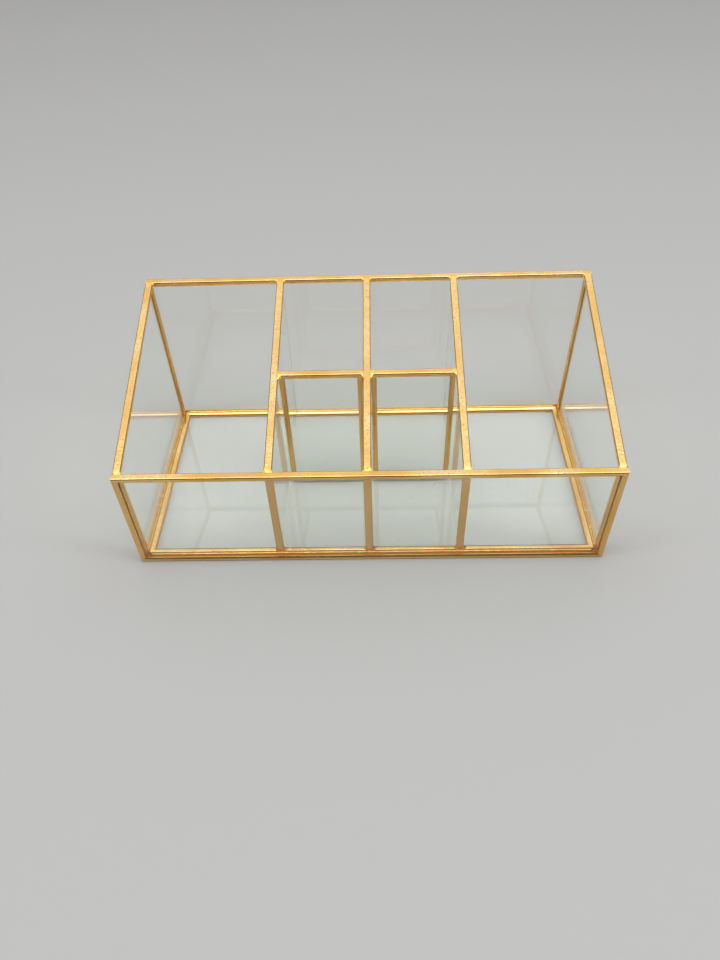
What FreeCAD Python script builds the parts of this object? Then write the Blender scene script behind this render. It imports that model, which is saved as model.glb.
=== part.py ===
import FreeCAD, Part
import Sketcher
import os

# Open glass organizer with a sloping top: ten framed glass panes make a box with six compartments.
# Origin at the middle of the underside, front towards -Y, +Z up, millimetres.
doc = FreeCAD.newDocument("Glass_Organizer")

# Driving dimensions
DIMENSIONS = {
    "box_width": 240.0,
    "box_depth": 120.0,
    "front_height": 62.0,
    "back_height": 95.5,
    "glass_thickness": 2.0,
    "glass_clearance": 0.1,
    "came_sheet": 0.9,
    "came_depth": 2.8,
    "lip_bevel_width": 0.5,
    "lip_bevel_depth": 0.9,
    "web_round": 0.8,
    "seam_gap": 0.05,
    "divider_spacing": 46.5,
    "cross_setback": 57.5,
    "solder_leg": 1.6,
    "solder_hollow": 0.3,
    "solder_height": 1.8,
    "solder_drop": 0.6,
}

sheet = doc.addObject("Spreadsheet::Sheet", "Dimensions")
for row, (alias, value) in enumerate(DIMENSIONS.items(), start=1):
    sheet.set(f"A{row}", alias)
    sheet.set(f"B{row}", str(value))
    sheet.setAlias(f"B{row}", alias)
doc.recompute()


def dim(alias):
    return f"Dimensions.{alias}"


# Sizes that follow from the driving dimensions, as expressions
GLASS = dim("glass_thickness")
GAP = dim("seam_gap")
FRONT_TOP = dim("front_height")
BACK_TOP = dim("back_height")
SLOT = f"({GLASS} + 2 * {dim('glass_clearance')})"
CAME = f"({SLOT} + 2 * {dim('came_sheet')})"
EDGE_INSET = f"({dim('came_sheet')} + {dim('glass_clearance')})"
HALF_WIDTH = f"({dim('box_width')} / 2)"
HALF_DEPTH = f"({dim('box_depth')} / 2)"
INNER_HALF_WIDTH = f"({HALF_WIDTH} - {CAME} - {GAP})"
INNER_HALF_DEPTH = f"({HALF_DEPTH} - {CAME} - {GAP})"
SLOPE = f"(({BACK_TOP} - {FRONT_TOP}) / (2 * {INNER_HALF_DEPTH}))"
SLOPE_STRETCH = f"sqrt(1 + {SLOPE} ^ 2)"
BASE_GLASS_TOP = f"({CAME} / 2 + {GLASS} / 2)"
CROSS_Y = f"({dim('cross_setback')} - {HALF_DEPTH})"
CROSS_TOP = f"({FRONT_TOP} + {SLOPE} * ({CROSS_Y} + {INNER_HALF_DEPTH}))"

SOLDER_LEG = dim("solder_leg")
SOLDER_HOLLOW = dim("solder_hollow")
SOLDER_RADIUS = f"(({SOLDER_LEG} ^ 2 / 2 + {SOLDER_HOLLOW} ^ 2) / (2 * {SOLDER_HOLLOW}))"

# Largest error in a place that still counts as lying on a plane
ON_PLANE = 1e-6

# Planes that the panes lie in: how a pane's own X, Y and Z turn into the box's axes
FACING_FRONT = "rotation(vector(0; 0; 1); 0)"
FACING_SIDE = "rotation(vector(0; 0; 1); 90)"
LYING_FLAT = "rotation(vector(1; 0; 0); -90)"
ORIGIN_OF = {
    FACING_FRONT: "vector({u}; {middle}; {v})",
    FACING_SIDE: "vector({middle}; {u}; {v})",
    LYING_FLAT: "vector({u}; {v}; {middle})",
}


def value_of(expression):
    result = sheet.evalExpression(expression)
    return float(getattr(result, "Value", result))


def new_body(label):
    body = doc.addObject("PartDesign::Body", label.title())
    body.Label = label
    return body


def new_sketch(body, name, plane_role):
    plane = next(item for item in body.Origin.OriginFeatures if item.Role == plane_role)
    sketch = body.newObject("Sketcher::SketchObject", name)
    sketch.AttachmentSupport = [(plane, "")]
    sketch.MapMode = "FlatFace"
    return sketch


def pin_start(sketch, line, corner):
    """Ties the start point of a line to a corner given as two expressions."""
    for kind, expression in zip(("DistanceX", "DistanceY"), corner):
        constraint = Sketcher.Constraint(kind, -1, 1, line, 1, value_of(expression))
        index = sketch.addConstraint(constraint)
        sketch.setExpression(f"Constraints[{index}]", expression)


def draw_polygon(sketch, corners):
    points = [FreeCAD.Vector(value_of(x), value_of(y), 0) for x, y in corners]
    lines = [
        sketch.addGeometry(Part.LineSegment(point, points[(index + 1) % len(points)]), False)
        for index, point in enumerate(points)
    ]
    for line, next_line in zip(lines, lines[1:] + lines[:1]):
        sketch.addConstraint(Sketcher.Constraint("Coincident", line, 2, next_line, 1))
    for line, corner in zip(lines, corners):
        pin_start(sketch, line, corner)


def draw_fillet(sketch, corner, towards):
    """Draws a right-angled corner closed by a hollow arc, with its legs along two signs."""
    tip_x = (f"({corner[0]} + {towards[0]} * {SOLDER_LEG})", corner[1])
    tip_y = (corner[0], f"({corner[1]} + {towards[1]} * {SOLDER_LEG})")
    heel, first, second = [
        FreeCAD.Vector(value_of(x), value_of(y), 0) for x, y in (corner, tip_x, tip_y)
    ]
    middle = (first + second) / 2
    middle += (heel - middle).normalize() * value_of(SOLDER_HOLLOW)
    leg_x = sketch.addGeometry(Part.LineSegment(heel, first), False)
    leg_y = sketch.addGeometry(Part.LineSegment(second, heel), False)
    turns_left = towards[0] * towards[1] < 0
    arc_ends = (first, second) if turns_left else (second, first)
    arc = sketch.addGeometry(Part.Arc(arc_ends[0], middle, arc_ends[1]), False)
    first_end, second_end = (1, 2) if turns_left else (2, 1)
    pin_start(sketch, leg_x, corner)
    pin_start(sketch, leg_y, tip_y)
    sketch.addConstraint(Sketcher.Constraint("Coincident", leg_y, 2, leg_x, 1))
    sketch.addConstraint(Sketcher.Constraint("Coincident", leg_x, 2, arc, first_end))
    sketch.addConstraint(Sketcher.Constraint("Coincident", leg_y, 1, arc, second_end))
    sketch.addConstraint(Sketcher.Constraint("Horizontal", leg_x))
    length = sketch.addConstraint(Sketcher.Constraint("Distance", leg_x, value_of(SOLDER_LEG)))
    sketch.setExpression(f"Constraints[{length}]", SOLDER_LEG)
    bend = sketch.addConstraint(Sketcher.Constraint("Radius", arc, value_of(SOLDER_RADIUS)))
    sketch.setExpression(f"Constraints[{bend}]", SOLDER_RADIUS)


def pad_sketch(body, sketch, length, side="One side"):
    pad = body.newObject("PartDesign::Pad", "Pad")
    pad.Profile = sketch
    pad.SideType = side
    pad.setExpression("Length", length)
    doc.recompute()
    return pad


def make_pane(label, plane, middle, corners):
    """Makes one sheet of glass, symmetrical about its middle plane."""
    body = new_body(label)
    sketch = new_sketch(body, "Outline", "XZ_Plane")
    draw_polygon(sketch, corners)
    pad_sketch(body, sketch, GLASS, "Symmetric")
    origin = ORIGIN_OF[plane].format(u=0, v=0, middle=middle)
    body.setExpression("Placement", f"placement({origin}; {plane})")


def direction(start, end):
    return f"atan2({end[1]} - ({start[1]}); {end[0]} - ({start[0]}))"


def mitre_between(first, corner, last):
    """Gives how far a lip is cut back per depth where two channels meet at a corner."""
    return f"tan(({direction(corner, last)} - {direction(first, corner)}) / 2)"


def make_channel(label, plane, middle, start, end, start_mitre=None, end_mitre=None):
    """Makes one length of edging: a U section whose lips point away from the edge line."""
    body = new_body(label)
    depth = dim("came_depth")
    bevel_start = f"({depth} - {dim('lip_bevel_depth')})"
    lip_outside = f"({CAME} / 2 - {dim('lip_bevel_width')})"
    half_section = [
        (f"({CAME} / 2)", "0"),
        (f"({CAME} / 2)", bevel_start),
        (lip_outside, depth),
        (f"({SLOT} / 2)", depth),
        (f"({SLOT} / 2)", dim("came_sheet")),
    ]
    section = half_section + [(f"-{x}", y) for x, y in reversed(half_section)]
    profile = new_sketch(body, "Section", "YZ_Plane")
    draw_polygon(profile, section)
    length = f"sqrt(({end[0]} - ({start[0]})) ^ 2 + ({end[1]} - ({start[1]})) ^ 2)"
    pad = pad_sketch(body, profile, length)

    web_edges = [
        f"Edge{index}"
        for index, edge in enumerate(pad.Shape.Edges, start=1)
        if edge.BoundBox.ZMax < ON_PLANE and edge.BoundBox.XLength > ON_PLANE
    ]
    rounding = body.newObject("PartDesign::Fillet", "Web_Rounding")
    rounding.Base = (pad, web_edges)
    rounding.setExpression("Radius", dim("web_round"))
    doc.recompute()

    if start_mitre or end_mitre:
        cut = new_sketch(body, "Mitre_Cuts", "XZ_Plane")
        beyond = f"(2 * {depth})"
        if start_mitre:
            draw_polygon(cut, [("0", "0"), (f"({beyond} * {start_mitre})", beyond), ("0", beyond)])
        if end_mitre:
            far = f"({length} - {beyond} * {end_mitre})"
            draw_polygon(cut, [(length, "0"), (length, beyond), (far, beyond)])
        before = rounding.Shape.Volume
        mitres = body.newObject("PartDesign::Pocket", "Mitres")
        mitres.Profile = cut
        mitres.SideType = "Symmetric"
        mitres.Type = "ThroughAll"
        doc.recompute()
        assert mitres.Shape.Volume < before, f"{label}: the mitres cut nothing"

    origin = ORIGIN_OF[plane].format(u=start[0], v=start[1], middle=middle)
    turn = f"rotation(vector(0; 1; 0); -{direction(start, end)})"
    body.setExpression("Placement", f"placement({origin}; {plane} * {turn})")


def make_frame(prefix, plane, middle, corners, edge_names):
    """Edges a pane all round: one channel per side, mitred where two of them meet."""
    count = len(corners)
    for index, edge_name in enumerate(edge_names):
        before, start = corners[index - 1], corners[index]
        end, after = corners[(index + 1) % count], corners[(index + 2) % count]
        make_channel(
            f"{prefix}_{edge_name}_channel", plane, middle, start, end,
            mitre_between(before, start, end), mitre_between(start, end, after),
        )


def rectangle(left, right, bottom, top):
    return [(left, bottom), (right, bottom), (right, top), (left, top)]


def inset_rectangle(left, right, bottom, top):
    return rectangle(
        f"({left} + {EDGE_INSET})", f"({right} - {EDGE_INSET})",
        f"({bottom} + {EDGE_INSET})", f"({top} - {EDGE_INSET})",
    )


def sloped_top(along_y, inset):
    """Height of the sloping top edge at a place along Y, less an inset square to the slope."""
    return f"({FRONT_TOP} + {SLOPE} * ({along_y} + {INNER_HALF_DEPTH}) - {inset} * {SLOPE_STRETCH})"


def make_framed_rectangle(prefix, plane, middle, sides, edge_names):
    make_frame(prefix, plane, middle, rectangle(*sides), edge_names)
    make_pane(f"{prefix}_pane", plane, middle, inset_rectangle(*sides))


def make_base():
    sides = (f"-{INNER_HALF_WIDTH}", INNER_HALF_WIDTH, f"-{INNER_HALF_DEPTH}", INNER_HALF_DEPTH)
    names = ("front", "right", "back", "left")
    make_framed_rectangle("base", LYING_FLAT, f"({CAME} / 2)", sides, names)


def make_front_and_back():
    names = ("bottom", "right", "top", "left")
    middle = f"({HALF_DEPTH} - {CAME} / 2)"
    front_sides = (f"-{HALF_WIDTH}", HALF_WIDTH, "0", FRONT_TOP)
    back_sides = (f"-{HALF_WIDTH}", HALF_WIDTH, "0", BACK_TOP)
    make_framed_rectangle("front", FACING_FRONT, f"(-{middle})", front_sides, names)
    make_framed_rectangle("back", FACING_FRONT, middle, back_sides, names)


def sloped_pane_corners(bottom, rear_inset):
    front = f"(-{INNER_HALF_DEPTH} + {EDGE_INSET})"
    back = f"({INNER_HALF_DEPTH} - {rear_inset})"
    return [
        (front, bottom),
        (back, bottom),
        (back, sloped_top(back, EDGE_INSET)),
        (front, sloped_top(front, EDGE_INSET)),
    ]


def sloped_frame_corners(bottom):
    return [
        (f"-{INNER_HALF_DEPTH}", bottom),
        (INNER_HALF_DEPTH, bottom),
        (INNER_HALF_DEPTH, BACK_TOP),
        (f"-{INNER_HALF_DEPTH}", FRONT_TOP),
    ]


def make_sides():
    middle = f"({HALF_WIDTH} - {CAME} / 2)"
    names = ("bottom", "rear", "top", "front")
    for prefix, place in (("left", f"(-{middle})"), ("right", middle)):
        make_frame(prefix, FACING_SIDE, place, sloped_frame_corners("0"), names)
        corners = sloped_pane_corners(EDGE_INSET, EDGE_INSET)
        make_pane(f"{prefix}_pane", FACING_SIDE, place, corners)


DIVIDERS = {
    "left_divider": f"(-{dim('divider_spacing')})",
    "centre_divider": "0",
    "right_divider": dim("divider_spacing"),
}


def make_dividers():
    """Dividers stand on the base frame, edged along the top and front, bare at the rear and bottom."""
    foot = f"({CAME} + {GAP})"
    foot_front, _, top_rear, top_front = sloped_frame_corners(foot)
    front_mitre = mitre_between(top_rear, top_front, foot_front)
    corners = sloped_pane_corners(foot, "0")
    for prefix, place in DIVIDERS.items():
        make_channel(f"{prefix}_top_channel", FACING_SIDE, place, top_rear, top_front,
                     start_mitre=SLOPE, end_mitre=front_mitre)
        make_channel(f"{prefix}_front_channel", FACING_SIDE, place, top_front, foot_front,
                     start_mitre=front_mitre)
        make_pane(f"{prefix}_pane", FACING_SIDE, place, corners)


def make_cross_panes():
    """Two short framed panes part the middle columns into front and back compartments."""
    near_centre = f"({CAME} / 2 + {GAP})"
    near_outer = f"({dim('divider_spacing')} - {near_centre})"
    bottom = f"({BASE_GLASS_TOP} + {GAP})"
    names = ("bottom", "right", "top", "left")
    left_sides = (f"-{near_outer}", f"-{near_centre}", bottom, CROSS_TOP)
    right_sides = (near_centre, near_outer, bottom, CROSS_TOP)
    make_framed_rectangle("left_cross", FACING_FRONT, CROSS_Y, left_sides, names)
    make_framed_rectangle("right_cross", FACING_FRONT, CROSS_Y, right_sides, names)


def make_solder(label, plane_role, corners, height, origin):
    """Makes a group of small solder fillets of one height, each in an inside corner."""
    body = new_body(label)
    body.AllowCompound = True
    sketch = new_sketch(body, "Fillets", plane_role)
    for corner, towards in corners:
        draw_fillet(sketch, corner, towards)
    pad_sketch(body, sketch, height)
    body.setExpression("Placement.Base.x", "0")
    body.setExpression("Placement.Base.y", origin[0])
    body.setExpression("Placement.Base.z", origin[1])


def beside(middle, sign):
    """Place just clear of one side face of a divider's edging."""
    return f"({middle} + {sign} * ({CAME} / 2 + {GAP}))"


def make_solder_joints():
    side_place = f"({INNER_HALF_WIDTH} - {GAP})"
    rail_corners = [((f"(-{side_place})", "0"), 1), ((side_place, "0"), -1)]
    rail_corners += [((beside(place, sign), "0"), sign) for place in DIVIDERS.values() for sign in (1, -1)]
    height = dim("solder_height")
    drop = f"({height} + {dim('solder_drop')})"
    front = [(corner, (sign, 1)) for corner, sign in rail_corners]
    back = [(corner, (sign, -1)) for corner, sign in rail_corners]
    make_solder("front_rail_solder", "XY_Plane", front, height,
                (f"(-{INNER_HALF_DEPTH})", f"({FRONT_TOP} - {drop})"))
    back_fall = f"({SLOPE} * {SOLDER_LEG})"
    make_solder("back_rail_solder", "XY_Plane", back, height,
                (INNER_HALF_DEPTH, f"({BACK_TOP} - {drop} - {back_fall})"))

    centre, outer = "0", dim("divider_spacing")
    ends = [(f"(-{outer})", 1), (centre, -1), (centre, 1), (outer, -1)]
    cross = [
        ((beside(place, sign), f"({side} * ({CAME} / 2 + {GAP}))"), (sign, side))
        for place, sign in ends for side in (1, -1)
    ]
    cross_fall = f"({SLOPE} * ({CAME} / 2 + {SOLDER_LEG}))"
    make_solder("cross_rail_solder", "XY_Plane", cross, height,
                (CROSS_Y, f"({CROSS_TOP} - {drop} - {cross_fall})"))

    feet = [
        ((beside(place, sign), "0"), (sign, 1)) for place in DIVIDERS.values() for sign in (1, -1)
    ]
    foot_depth = f"({dim('came_depth')} - {GAP})"
    foot_level = f"({CAME} + {GAP})"
    make_solder("front_foot_solder", "XZ_Plane", feet, foot_depth,
                (f"(-{INNER_HALF_DEPTH} + {foot_depth})", foot_level))


make_base()
make_front_and_back()
make_sides()
make_dividers()
make_cross_panes()
make_solder_joints()
doc.recompute()

for item in doc.Objects:
    assert not {"Invalid", "Error"} & set(item.State), f"{item.Label}: {item.State}"
bodies = [item for item in doc.Objects if item.TypeId == "PartDesign::Body"]
for body in bodies:
    assert not body.Shape.isNull() and body.Shape.isValid(), f"{body.Label}: the shape is not sound"

os.makedirs("parts", exist_ok=True)
for body in bodies:
    body.Shape.exportStep(f"parts/{body.Label}.step")
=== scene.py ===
import math

import bmesh
import bpy
from mathutils import Matrix, Vector, noise


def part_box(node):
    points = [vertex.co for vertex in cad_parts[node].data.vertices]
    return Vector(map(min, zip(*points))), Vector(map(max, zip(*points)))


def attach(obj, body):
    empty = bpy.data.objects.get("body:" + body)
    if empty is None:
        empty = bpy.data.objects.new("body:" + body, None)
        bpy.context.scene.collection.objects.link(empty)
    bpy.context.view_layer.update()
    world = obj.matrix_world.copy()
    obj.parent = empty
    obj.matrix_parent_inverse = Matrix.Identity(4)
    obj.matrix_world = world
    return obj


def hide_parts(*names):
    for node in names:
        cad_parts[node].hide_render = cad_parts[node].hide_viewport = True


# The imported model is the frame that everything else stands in
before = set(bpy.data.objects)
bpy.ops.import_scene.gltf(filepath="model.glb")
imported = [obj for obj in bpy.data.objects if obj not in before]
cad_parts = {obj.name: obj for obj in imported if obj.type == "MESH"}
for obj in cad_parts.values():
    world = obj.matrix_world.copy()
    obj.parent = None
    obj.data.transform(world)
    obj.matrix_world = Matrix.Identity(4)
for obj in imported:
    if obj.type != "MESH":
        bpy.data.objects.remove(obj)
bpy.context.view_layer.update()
MM = 0.001
X_AXIS = Vector((1.0, 0.0, 0.0))
Y_AXIS = Vector((0.0, 1.0, 0.0))
Z_AXIS = Vector((0.0, 0.0, 1.0))
AXES = {"x": X_AXIS, "y": Y_AXIS, "z": Z_AXIS}


def box_mm(node):
    """Lowest and highest corner of a node, in millimetres."""
    return [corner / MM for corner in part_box(node)]


def link(thing):
    bpy.context.scene.collection.objects.link(thing)


# Camera: fitted to the corners of the box in the photograph
IMAGE_HEIGHT = 960
FOCAL_PIXELS = 737.0
SENSOR = 36.0
CAMERA_PLACE = Vector((6.4, -296.9, 304.8)) * MM
CAMERA_PITCH = math.radians(45.96)
CAMERA_YAW = math.radians(-2.355)
CAMERA_ROLL = math.radians(-2.463)
NEAREST_SEEN = 10.0 * MM


def make_camera():
    view = Vector((
        math.sin(CAMERA_YAW) * math.cos(CAMERA_PITCH),
        math.cos(CAMERA_YAW) * math.cos(CAMERA_PITCH),
        -math.sin(CAMERA_PITCH),
    ))
    level_right = Vector((math.cos(CAMERA_YAW), -math.sin(CAMERA_YAW), 0.0))
    level_up = level_right.cross(view)
    right = level_right * math.cos(CAMERA_ROLL) + level_up * math.sin(CAMERA_ROLL)
    up = level_up * math.cos(CAMERA_ROLL) - level_right * math.sin(CAMERA_ROLL)
    data = bpy.data.cameras.new("photo_camera")
    data.sensor_width = SENSOR
    data.lens = FOCAL_PIXELS * SENSOR / IMAGE_HEIGHT
    data.clip_start = NEAREST_SEEN
    camera = bpy.data.objects.new("photo_camera", data)
    link(camera)
    turn = Matrix((right, up, -view)).transposed().to_4x4()
    camera.matrix_world = Matrix.Translation(CAMERA_PLACE) @ turn
    bpy.context.scene.camera = camera


# Node helpers; a Mix node has one set of sockets for each kind of value, so these are found by number
MIX_VECTORS = (4, 5)
MIXED_VECTOR = 1
MIX_COLOURS = (6, 7)
MIXED_COLOUR = 2


class NodeBook:
    """A node tree with short ways to add and link nodes."""

    def __init__(self, tree):
        self.tree = tree
        self.tree.nodes.clear()

    def add(self, kind, inputs=None, **settings):
        node = self.tree.nodes.new(kind)
        for name, value in settings.items():
            setattr(node, name, value)
        for name, value in (inputs or {}).items():
            self.feed(node.inputs[name], value)
        return node

    def feed(self, socket, value):
        if isinstance(value, bpy.types.NodeSocket):
            self.tree.links.new(value, socket)
        else:
            socket.default_value = value

    def place(self):
        return self.add("ShaderNodeTexCoord").outputs["Object"]

    def noise(self, vector, scale, detail=3.0, roughness=0.5, distortion=0.0):
        node = self.add("ShaderNodeTexNoise", {
            "Vector": vector, "Scale": scale, "Detail": detail,
            "Roughness": roughness, "Distortion": distortion,
        })
        return node.outputs["Fac"]

    def span(self, value, low, high, to_low=0.0, to_high=1.0):
        node = self.add("ShaderNodeMapRange", {
            "Value": value, "From Min": low, "From Max": high, "To Min": to_low, "To Max": to_high,
        })
        return node.outputs["Result"]

    def maths(self, operation, first, second):
        node = self.add("ShaderNodeMath", operation=operation)
        self.feed(node.inputs[0], first)
        self.feed(node.inputs[1], second)
        return node.outputs["Value"]

    def dot(self, first, second):
        node = self.add("ShaderNodeVectorMath", operation="DOT_PRODUCT")
        self.feed(node.inputs[0], first)
        self.feed(node.inputs[1], second)
        return node.outputs["Value"]

    def mix(self, factor, first, second):
        node = self.add("ShaderNodeMix", data_type="RGBA")
        self.feed(node.inputs["Factor"], factor)
        for index, value in zip(MIX_COLOURS, (first, second)):
            self.feed(node.inputs[index], value)
        return node.outputs[MIXED_COLOUR]

    def mix_vector(self, factor, first, second):
        node = self.add("ShaderNodeMix", {"Factor": factor}, data_type="VECTOR")
        for index, value in zip(MIX_VECTORS, (first, second)):
            self.feed(node.inputs[index], value)
        return node.outputs[MIXED_VECTOR]

    def mix_shader(self, factor, first, second):
        node = self.add("ShaderNodeMixShader")
        for socket, value in zip(node.inputs, (factor, first, second)):
            self.feed(socket, value)
        return node.outputs["Shader"]

    def bump(self, height, strength, distance, normal=None):
        inputs = {"Height": height, "Strength": strength, "Distance": distance}
        if normal:
            inputs["Normal"] = normal
        return self.add("ShaderNodeBump", inputs).outputs["Normal"]


def new_material(name):
    material = bpy.data.materials.new(name)
    material.use_nodes = True
    return material, NodeBook(material.node_tree)


# Gold-coloured edging
GOLD = (0.90, 0.63, 0.25, 1.0)
PALE_GOLD = (0.95, 0.73, 0.38, 1.0)
ROSE_GOLD = (0.82, 0.50, 0.20, 1.0)
# Painted reflection: a warm orange glow of gold on gold, laid into the crevices
PAINTED_CREVICE_GLOW = (0.94, 0.52, 0.11, 1.0)
TARNISH = (0.48, 0.27, 0.09, 1.0)
AMBER = (0.78, 0.44, 0.10, 1.0)
SATIN_ROUGHNESS = (0.13, 0.24)
DRAWN_STRETCH = (1.0, 1.0, 0.03)
CREVICE_REACH = 0.9 * MM
GRAIN_DEPTH = 0.06 * MM
RIDGE_DEPTH = 0.25 * MM
WAVE_DEPTH = 0.6 * MM

# Least and greatest share of amber, which comes and goes along a bar; the upright posts start from a larger
# share, which is painted shade
RAIL_AMBER = (0.0, 0.75)
CROSSWISE_AMBER = (0.1, 0.95)
POST_AMBER_AND_SHADE = (0.5, 0.95)


def make_edging(name, along, amber_and_shade):
    """Satin metal drawn along one direction: fine streaks, mottling, a painted warm glow of gold reflected
    on gold in the crevices, and specks of tarnish.
    """
    material, book = new_material(name)
    place = book.place()
    turned = Z_AXIS.rotation_difference(along).inverted().to_euler()
    drawn = book.add("ShaderNodeMapping", {
        "Vector": place, "Rotation": turned, "Scale": DRAWN_STRETCH,
    }).outputs["Vector"]
    streaks = book.noise(drawn, scale=3000.0, detail=4.0, roughness=0.6)
    mottling = book.noise(place, scale=120.0, detail=4.0, roughness=0.6)
    speckle = book.noise(place, scale=1400.0, detail=2.0)
    waviness = book.noise(place, scale=55.0, detail=2.0)
    patches = book.noise(place, scale=26.0, detail=2.0)
    gold = book.mix(book.span(mottling, 0.38, 0.66), GOLD, PALE_GOLD)
    # Amber patches; on the upright posts their larger share is painted shade
    gold = book.mix(book.span(patches, 0.42, 0.62, *amber_and_shade), gold, AMBER)
    gold = book.mix(book.span(streaks, 0.5, 0.72, 0.0, 0.7), gold, ROSE_GOLD)
    gold = book.mix(book.span(speckle, 0.48, 0.62, 0.0, 0.75), gold, ROSE_GOLD)
    gold = book.mix(book.span(speckle, 0.61, 0.74, 0.0, 0.75), gold, TARNISH)
    # Painted light: the ambient-occlusion mask lays a warm glow of reflected gold into the crevices, and
    # also roughens them
    open_sky = book.add("ShaderNodeAmbientOcclusion", {"Distance": CREVICE_REACH}, samples=4).outputs["AO"]
    crevice_glow_and_roughness = book.span(open_sky, 0.35, 0.85, 0.85, 0.0)
    colour = book.mix(crevice_glow_and_roughness, gold, PAINTED_CREVICE_GLOW)
    satin = book.span(streaks, 0.3, 0.7, *SATIN_ROUGHNESS)
    roughness = book.maths("ADD", satin, book.span(speckle, 0.6, 0.8, 0.0, 0.15))
    roughness = book.maths("MAXIMUM", roughness, crevice_glow_and_roughness)
    grain = book.bump(streaks, strength=0.22, distance=GRAIN_DEPTH)
    lines = book.noise(drawn, scale=700.0, detail=1.0)
    ridges = book.bump(lines, strength=0.5, distance=RIDGE_DEPTH, normal=grain)
    surface = book.add("ShaderNodeBsdfPrincipled", {
        "Base Color": colour, "Metallic": 1.0, "Roughness": roughness,
        "Normal": book.bump(waviness, strength=0.45, distance=WAVE_DEPTH, normal=ridges),
    })
    book.add("ShaderNodeOutputMaterial", {"Surface": surface.outputs["BSDF"]})
    return material


# Gold-coloured solder
SOLDER_GOLD = (0.95, 0.56, 0.11, 1.0)
SOLDER_PALE = (0.97, 0.68, 0.24, 1.0)
# Orange for the solder at the feet of the dividers: a painted warm glow of gold reflected in that corner
SOLDER_ORANGE_GLOW = (0.98, 0.40, 0.02, 1.0)
SOLDER_ROUGHNESS = (0.16, 0.30)
RIPPLE_DEPTH = 0.3 * MM


def make_solder_metal(name, deep, pale):
    """Smooth solder, mottled from its deep to its pale colour, with soft ripples and a few pits."""
    material, book = new_material(name)
    place = book.place()
    ripples = book.noise(place, scale=420.0, detail=2.0)
    mottling = book.noise(place, scale=260.0, detail=3.0)
    pits = book.noise(place, scale=1800.0, detail=1.0)
    colour = book.mix(book.span(mottling, 0.35, 0.65), deep, pale)
    colour = book.mix(book.span(pits, 0.66, 0.78, 0.0, 0.6), colour, TARNISH)
    surface = book.add("ShaderNodeBsdfPrincipled", {
        "Base Color": colour, "Metallic": 1.0,
        "Roughness": book.span(mottling, 0.3, 0.7, *SOLDER_ROUGHNESS),
        "Normal": book.bump(ripples, strength=0.4, distance=RIPPLE_DEPTH),
    })
    book.add("ShaderNodeOutputMaterial", {"Surface": surface.outputs["BSDF"]})
    return material


# Glass
CLEAR = (0.985, 0.992, 0.982, 1.0)
# Pale ground-edge colour, tinted warm as a painted glint of reflected gold
CUT_EDGE_AND_GLINT = (0.80, 0.75, 0.50, 1.0)
DUST = (0.94, 0.93, 0.90, 1.0)
GLASS_BODY = (0.76, 0.92, 0.70, 1.0)
BODY_DENSITY = 18.0
GLASS_IOR = 1.5
EDGE_ROUGHNESS = 0.6
HAZE_ROUGHNESS = 0.05
VEILED_TRANSMISSION = 0.35
LINT_CURL = 0.012
UPRIGHT_DUST = 0.3
RIPPLE_IN_GLASS = 1.0 * MM


def make_glass(name, facing):
    """Clear float glass with ground edges, coloured warm as a painted glint, faint smears, dust and lint;
    lamps shine through it.
    """
    material, book = new_material(name)
    place = book.place()
    normal = book.add("ShaderNodeNewGeometry").outputs["Normal"]
    steep = book.maths("ABSOLUTE", book.dot(normal, facing), 0.0)
    edge = book.span(steep, 0.6, 0.4)

    patches = book.noise(place, scale=42.0, detail=3.0)
    specks = book.add("ShaderNodeTexVoronoi", {"Vector": place, "Scale": 420.0}).outputs["Distance"]
    grit = book.maths("MULTIPLY", book.span(specks, 0.10, 0.05), book.span(patches, 0.44, 0.62))
    warp = book.add("ShaderNodeTexNoise", {"Vector": place, "Scale": 70.0, "Detail": 1.0}).outputs["Color"]
    curled = book.mix_vector(LINT_CURL, place, warp)
    fibres = book.add("ShaderNodeTexVoronoi", {"Vector": curled, "Scale": 55.0},
                      feature="DISTANCE_TO_EDGE").outputs["Distance"]
    lint = book.maths("MULTIPLY", book.span(fibres, 0.005, 0.002, 0.0, 0.5), book.span(patches, 0.60, 0.66))
    upward = book.add("ShaderNodeSeparateXYZ", {"Vector": normal}).outputs["Z"]
    settled = book.span(upward, 0.5, 0.9, UPRIGHT_DUST, 1.0)
    dust = book.maths("MULTIPLY", book.maths("MAXIMUM", grit, lint), settled)

    smears = book.noise(place, scale=24.0, detail=4.0, roughness=0.6, distortion=0.8)
    haze = book.span(smears, 0.52, 0.8, 0.0, HAZE_ROUGHNESS)
    waves = book.noise(place, scale=14.0, detail=1.0)
    # The ground edges take a warm pale colour: partly frosting, partly a painted glint
    colour = book.mix(edge, CLEAR, CUT_EDGE_AND_GLINT)
    veil = book.maths("MAXIMUM", dust, edge)
    glass = book.add("ShaderNodeBsdfPrincipled", {
        "Base Color": book.mix(dust, colour, DUST), "IOR": GLASS_IOR,
        "Roughness": book.maths("MAXIMUM", haze, book.span(edge, 0.0, 1.0, 0.0, EDGE_ROUGHNESS)),
        "Transmission Weight": book.span(veil, 0.0, 1.0, 1.0, VEILED_TRANSMISSION),
        "Normal": book.bump(waves, strength=0.04, distance=RIPPLE_IN_GLASS),
    })
    see_through = book.add("ShaderNodeBsdfTransparent", {"Color": CLEAR})
    shadow = book.add("ShaderNodeLightPath").outputs["Is Shadow Ray"]
    body = book.add("ShaderNodeVolumeAbsorption", {"Color": GLASS_BODY, "Density": BODY_DENSITY})
    book.add("ShaderNodeOutputMaterial", {
        "Surface": book.mix_shader(shadow, glass.outputs["BSDF"], see_through.outputs["BSDF"]),
        "Volume": body.outputs["Volume"],
    })
    return material


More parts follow.
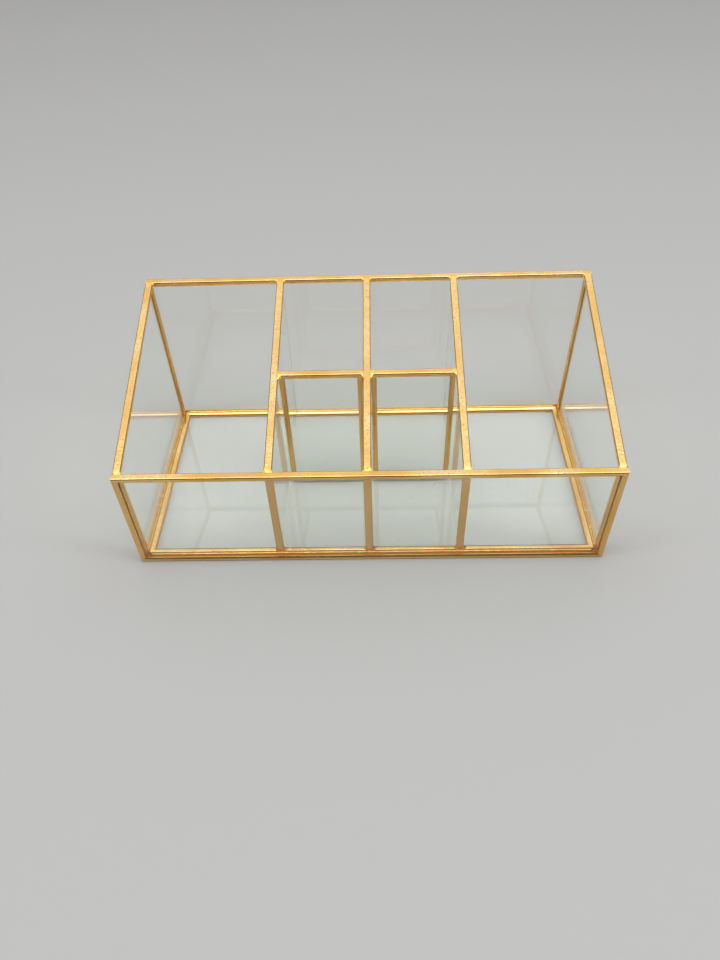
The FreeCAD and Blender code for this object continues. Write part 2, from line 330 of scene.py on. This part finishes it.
# Floor and light
FLOOR_COLOUR = (0.52, 0.52, 0.515, 1.0)
FLOOR_ROUGHNESS = 0.85
FLOOR_GLOSS = 0.2
FLOOR_TOOTH = 0.2 * MM
FLOOR_REACH = 8.0
HORIZON_GREY = (0.11, 0.11, 0.11, 1.0)
OVERHEAD_WHITE = (1.06, 1.05, 1.03, 1.0)
OVERHEAD_DIRECTION = Vector((0.0, 0.45, 0.9)).normalized()
GLOW_STARTS = 0.5
GLOW_IS_FULL = 0.85


def make_floor():
    material, book = new_material("pale_floor")
    tooth = book.noise(book.place(), scale=900.0, detail=3.0)
    surface = book.add("ShaderNodeBsdfPrincipled", {
        "Base Color": FLOOR_COLOUR, "Roughness": FLOOR_ROUGHNESS, "Specular IOR Level": FLOOR_GLOSS,
        "Normal": book.bump(tooth, strength=0.1, distance=FLOOR_TOOTH),
    })
    book.add("ShaderNodeOutputMaterial", {"Surface": surface.outputs["BSDF"]})
    mesh = bpy.data.meshes.new("floor")
    corners = [(x * FLOOR_REACH, y * FLOOR_REACH, 0.0) for x, y in ((-1, -1), (1, -1), (1, 1), (-1, 1))]
    mesh.from_pydata(corners, [], [(0, 1, 2, 3)])
    mesh.materials.append(material)
    floor = bpy.data.objects.new("floor", mesh)
    link(floor)


def make_softbox(name, place, size, power):
    """A rectangular lamp that faces the object; place and size are in metres, power in watts."""
    data = bpy.data.lights.new(name, "AREA")
    data.shape = "RECTANGLE"
    data.size, data.size_y = size
    data.energy = power
    lamp = bpy.data.objects.new(name, data)
    link(lamp)
    lamp.location = place
    lamp.rotation_euler = (-Vector(place)).to_track_quat("-Z", "Y").to_euler()


def make_world():
    """A dark grey room that brightens smoothly overhead, towards the back."""
    world = bpy.data.worlds.new("studio")
    bpy.context.scene.world = world
    world.use_nodes = True
    book = NodeBook(world.node_tree)
    direction = book.add("ShaderNodeTexCoord").outputs["Generated"]
    glow = book.add("ShaderNodeMapRange", {
        "Value": book.dot(direction, OVERHEAD_DIRECTION),
        "From Min": GLOW_STARTS, "From Max": GLOW_IS_FULL,
    }, interpolation_type="SMOOTHSTEP").outputs["Result"]
    light = book.add("ShaderNodeBackground", {"Color": book.mix(glow, HORIZON_GREY, OVERHEAD_WHITE)})
    book.add("ShaderNodeOutputWorld", {"Surface": light.outputs["Background"]})


# Mesh helpers; solder is built in millimetres and scaled when a piece is finished
SOLDER_VOXEL = 0.2 * MM
FLOW_FACTOR = 0.5
FLOW_ROUNDS = 3


def join_rings(mesh, rings):
    """Faces between neighbouring rings of points, and one face at each end."""
    count = len(rings[0])
    for first, second in zip(rings, rings[1:]):
        for index in range(count):
            after = (index + 1) % count
            mesh.faces.new((first[index], first[after], second[after], second[index]))
    mesh.faces.new(rings[0])
    mesh.faces.new(rings[-1])


def finish_piece(name, mesh, material):
    bmesh.ops.recalc_face_normals(mesh, faces=mesh.faces)
    bmesh.ops.scale(mesh, vec=Vector((MM, MM, MM)), verts=mesh.verts)
    for face in mesh.faces:
        face.smooth = True
    data = bpy.data.meshes.new(name)
    mesh.to_mesh(data)
    mesh.free()
    data.materials.append(material)
    piece = bpy.data.objects.new(name, data)
    link(piece)
    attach(piece, "root")
    return piece


def finish_joints(name, mesh, node, material):
    """Solder joints that flow together into smooth lumps, in place of the plain fillets of a node."""
    piece = finish_piece(name, mesh, material)
    melt = piece.modifiers.new("melt", "REMESH")
    melt.mode = "VOXEL"
    melt.voxel_size = SOLDER_VOXEL
    melt.use_smooth_shade = True
    flow = piece.modifiers.new("flow", "SMOOTH")
    flow.factor = FLOW_FACTOR
    flow.iterations = FLOW_ROUNDS
    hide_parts(node)


# Skins: thin layers of solder over the seams, with their half-sizes and their shift from the seam
SKIN_RISE = 0.07
SKIN_SWELL = 0.18
SKIN_LUMPS = 1.7
FRONT_SKIN = (1.9, 2.5, 0.3)
FRONT_SKIN_SHIFT = 1.2
BACK_SKIN = (1.9, 2.2, 0.3)
BACK_SKIN_SHIFT = 1.4
CROSS_SKIN = (1.6, 1.8, 0.3)
CROSS_SKIN_SHIFT = 0.8
FOOT_SKIN = (1.9, 3.4, 0.4)
FOOT_SKIN_SHIFT = 0.1


def add_skin(mesh, centre, radii, facing):
    """A flat, slightly lumpy ellipsoid, sunk so that only its top, SKIN_RISE thick, shows past centre."""
    turn = Z_AXIS.rotation_difference(facing).to_matrix()
    middle = Vector(centre) - facing * (radii[2] - SKIN_RISE)
    made = bmesh.ops.create_icosphere(mesh, subdivisions=4, radius=1.0)
    for vertex in made["verts"]:
        swell = 1.0 + SKIN_SWELL * noise.noise(vertex.co * SKIN_LUMPS + middle)
        vertex.co = turn @ Vector(a * b * swell for a, b in zip(vertex.co, radii)) + middle


# Fillets: each section is a distance from the heel and the share of the leg that is reached there
FILLET_ROOT = 0.9
FILLET_HOLLOW = 0.65
FILLET_STEPS = 6
RAIL_FILLET = ((-2.4, 0.35), (-1.8, 0.8), (-1.0, 1.0), (-0.4, 1.0), (-0.12, 0.8), (0.0, 0.4))
FOOT_FILLET = ((0.3, 0.5), (0.7, 0.9), (1.4, 1.0), (2.1, 0.85), (2.5, 0.5))

# Legs of the fillets to the left (-1) and right (1) of a rail or post: the solder ran further on one side
FRONT_LEGS = {-1: 0.6, 1: 1.0}
FOOT_LEGS = {-1: 0.7, 1: 1.8}
BACK_LEG = 1.0
CROSS_FRONT_LEGS = {-1: 1.5, 1: 2.3}
CROSS_REAR_LEG = 0.5


def add_fillet(mesh, heel, across, along, through, sections, leg):
    """A hollow-faced fillet in the inside corner at heel, between the directions across and along."""
    rings = []
    for distance, share in sections:
        spot = heel + through * distance
        ring = [mesh.verts.new(spot - (across + along) * FILLET_ROOT)]
        for step in range(FILLET_STEPS + 1):
            part = step / FILLET_STEPS
            turn = part * math.pi / 2
            hollow = across * (1 - math.sin(turn)) + along * (1 - math.cos(turn))
            straight = across * (1 - part) + along * part
            ring.append(mesh.verts.new(spot + straight.lerp(hollow, FILLET_HOLLOW) * leg * share))
        rings.append(ring)
    join_rings(mesh, rings)


# Measures of the rails and panes, read from the frame; lengths are in millimetres
front_rail_low, front_rail_high = box_mm("front_top_channel")
back_rail_low, back_rail_high = box_mm("back_top_channel")
RAIL_HALF = (front_rail_high.y - front_rail_low.y) / 2
SLOPE = (back_rail_high.z - front_rail_high.z) / (back_rail_low.y - front_rail_high.y)
UPHILL = Vector((0.0, 1.0, SLOPE))
SLOPING_UP = Vector((0.0, -SLOPE, 1.0)).normalized()


def middle_of(node):
    low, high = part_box(node)
    return (low + high) / (2 * MM)


DIVIDERS = [middle_of(f"{side}_divider_pane").x for side in ("left", "centre", "right")]
SIDES = [middle_of(f"{side}_pane").x for side in ("left", "right")]


def make_rail_joints(material):
    """Solder where the sloping rails meet the front and back rails."""
    front = bmesh.new()
    back = bmesh.new()
    for x in DIVIDERS + SIDES:
        inward = [-1, 1] if x in DIVIDERS else [-math.copysign(1, x)]
        front_seam = Vector((x, front_rail_high.y, front_rail_high.z))
        back_seam = Vector((x, back_rail_low.y, back_rail_high.z))
        add_skin(front, front_seam + UPHILL * FRONT_SKIN_SHIFT, FRONT_SKIN, SLOPING_UP)
        add_skin(back, back_seam - UPHILL * BACK_SKIN_SHIFT, BACK_SKIN, SLOPING_UP)
        for sign in inward:
            side = X_AXIS * sign
            leg = FRONT_LEGS[sign]
            add_fillet(front, front_seam + side * RAIL_HALF, side, UPHILL, Z_AXIS, RAIL_FILLET, leg)
            add_fillet(back, back_seam + side * RAIL_HALF, side, -UPHILL, Z_AXIS, RAIL_FILLET, BACK_LEG)
    finish_joints("front_rail_joints", front, "front_rail_solder", material)
    finish_joints("back_rail_joints", back, "back_rail_solder", material)


def make_cross_joints(material):
    """Solder where the short cross rails meet the sloping rails of the dividers."""
    cross = bmesh.new()
    cross_low, cross_high = box_mm("left_cross_top_channel")
    left, centre, right = DIVIDERS
    for x, sign in ((left, 1), (centre, -1), (centre, 1), (right, -1)):
        side = X_AXIS * sign
        seam = Vector((x, (cross_low.y + cross_high.y) / 2, cross_high.z)) + side * RAIL_HALF
        add_skin(cross, seam + side * CROSS_SKIN_SHIFT, CROSS_SKIN, Z_AXIS)
        for facing, leg in ((-1, CROSS_FRONT_LEGS[sign]), (1, CROSS_REAR_LEG)):
            heel = seam + Y_AXIS * facing * RAIL_HALF + Z_AXIS * facing * SLOPE * RAIL_HALF / 2
            add_fillet(cross, heel, side, UPHILL * facing, Z_AXIS, RAIL_FILLET, leg)
    finish_joints("cross_rail_joints", cross, "cross_rail_solder", material)


def make_foot_joints(material):
    """Solder where the front channels of the dividers stand on the base frame."""
    feet = bmesh.new()
    base_low, base_high = box_mm("base_front_channel")
    for x in DIVIDERS:
        foot = Vector((x, base_low.y, base_high.z))
        add_skin(feet, foot - Y_AXIS * FOOT_SKIN_SHIFT, FOOT_SKIN, -Y_AXIS)
        for sign, leg in FOOT_LEGS.items():
            side = X_AXIS * sign
            add_fillet(feet, foot + side * RAIL_HALF, side, Z_AXIS, Y_AXIS, FOOT_FILLET, leg)
    finish_joints("front_foot_joints", feet, "front_foot_solder", material)


# Seams: thin runs of solder that close the joints between neighbouring frames
SEAM_SIDES = 10
SEAM_STEP = 1.2
SEAM_RADIUS = 0.5
SEAM_LIFT = 0.3
INNER_SEAM_INSET = 0.2
INNER_SEAM_DROP = 3.2
OUTER_SEAM_INSET = 0.5
OUTER_SEAM_MARGIN = 0.6

# Each swell of a run is a share of its radius, and how closely the lumps follow one another
SEAM_SWELLS = ((0.16, 0.35), (0.08, 1.1))


def add_run(mesh, start, end):
    """A run of solder from start to end, a little thicker and thinner along its way."""
    start, end = Vector(start), Vector(end)
    along = (end - start).normalized()
    across = along.orthogonal().normalized()
    beyond = along.cross(across)
    count = round((end - start).length / SEAM_STEP)
    rings = []
    for index in range(count + 1):
        spot = start.lerp(end, index / count)
        swell = sum(share * noise.noise(spot * lumps) for share, lumps in SEAM_SWELLS)
        radius = SEAM_RADIUS * (1.0 + swell)
        ring = []
        for side in range(SEAM_SIDES):
            turn = side / SEAM_SIDES * 2 * math.pi
            ring.append(mesh.verts.new(spot + (across * math.cos(turn) + beyond * math.sin(turn)) * radius))
        rings.append(ring)
    join_rings(mesh, rings)


def add_upright_run(mesh, x, y, bottom, top):
    add_run(mesh, (x, y, bottom), (x, y, top))


def make_seams(material):
    """Runs along the foot of each wall, and up the inside and outside of each corner."""
    front_low, front_high = box_mm("front_bottom_channel")
    base_low, base_high = box_mm("base_pane")
    seam_y = (abs(box_mm("front_pane")[1].y) + abs(front_high.y)) / 2
    seam_x = (abs(box_mm("left_pane")[1].x) + abs(box_mm("left_bottom_channel")[1].x)) / 2
    level = front_high.z + SEAM_LIFT
    outer_x = abs(front_low.x) - OUTER_SEAM_INSET
    outer_y = abs(front_high.y)
    mesh = bmesh.new()
    for sign in (-1, 1):
        add_run(mesh, (base_low.x, sign * seam_y, level), (base_high.x, sign * seam_y, level))
        add_run(mesh, (sign * seam_x, base_low.y, level), (sign * seam_x, base_high.y, level))
    for wall, sign_y in (("front", -1), ("back", 1)):
        lip = box_mm(f"{wall}_left_channel")[1]
        inner_x = abs(lip.x) - INNER_SEAM_INSET
        inner_top = lip.z - INNER_SEAM_DROP
        outer_top = lip.z - OUTER_SEAM_MARGIN
        for sign_x in (-1, 1):
            add_upright_run(mesh, sign_x * inner_x, sign_y * seam_y, level, inner_top)
            add_upright_run(mesh, sign_x * outer_x, sign_y * outer_y, OUTER_SEAM_MARGIN, outer_top)
    finish_piece("frame_seams", mesh, material)


# Dressing of the CAD nodes; a bar that reaches further than this both back and up is a sloping one
SLOPING_REACH = 20 * MM


def dress_nodes(solder):
    low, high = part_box("left_top_channel")
    slope_direction = Vector((0.0, high.y - low.y, high.z - low.z)).normalized()
    panes = [make_glass(f"pane_glass_{name}", axis) for name, axis in AXES.items()]
    bars = [
        make_edging("edging_x", X_AXIS, CROSSWISE_AMBER),
        make_edging("edging_y", Y_AXIS, RAIL_AMBER),
        # The upright posts get painted shade through their larger share of amber
        make_edging("edging_z", Z_AXIS, POST_AMBER_AND_SHADE),
    ]
    sloping = make_edging("edging_sloping", slope_direction, RAIL_AMBER)
    for name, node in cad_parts.items():
        low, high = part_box(name)
        size = list(high - low)
        if name.endswith("_pane"):
            finish = panes[size.index(min(size))]
        elif name.endswith("_solder"):
            finish = solder
        elif min(size[1], size[2]) > SLOPING_REACH:
            finish = sloping
        else:
            finish = bars[size.index(max(size))]
        node.data.materials.clear()
        node.data.materials.append(finish)


# The scene
bpy.context.scene.view_settings.view_transform = "Standard"
make_camera()
make_floor()
make_world()
make_softbox("overhead", place=(0.0, -0.3, 1.4), size=(1.7, 0.75), power=9.0)
make_softbox("left_key", place=(-1.5, -0.4, 1.3), size=(0.5, 0.9), power=4.0)
make_softbox("right_strip", place=(1.3, -0.35, 0.8), size=(0.35, 1.1), power=3.5)
solder_metal = make_solder_metal("solder_metal", deep=SOLDER_GOLD, pale=SOLDER_PALE)
# The feet of the dividers take orange solder: solder colour with a painted warm glow
foot_solder = make_solder_metal("foot_solder", deep=SOLDER_ORANGE_GLOW, pale=SOLDER_GOLD)
dress_nodes(solder_metal)
make_rail_joints(solder_metal)
make_cross_joints(solder_metal)
make_foot_joints(foot_solder)
make_seams(solder_metal)
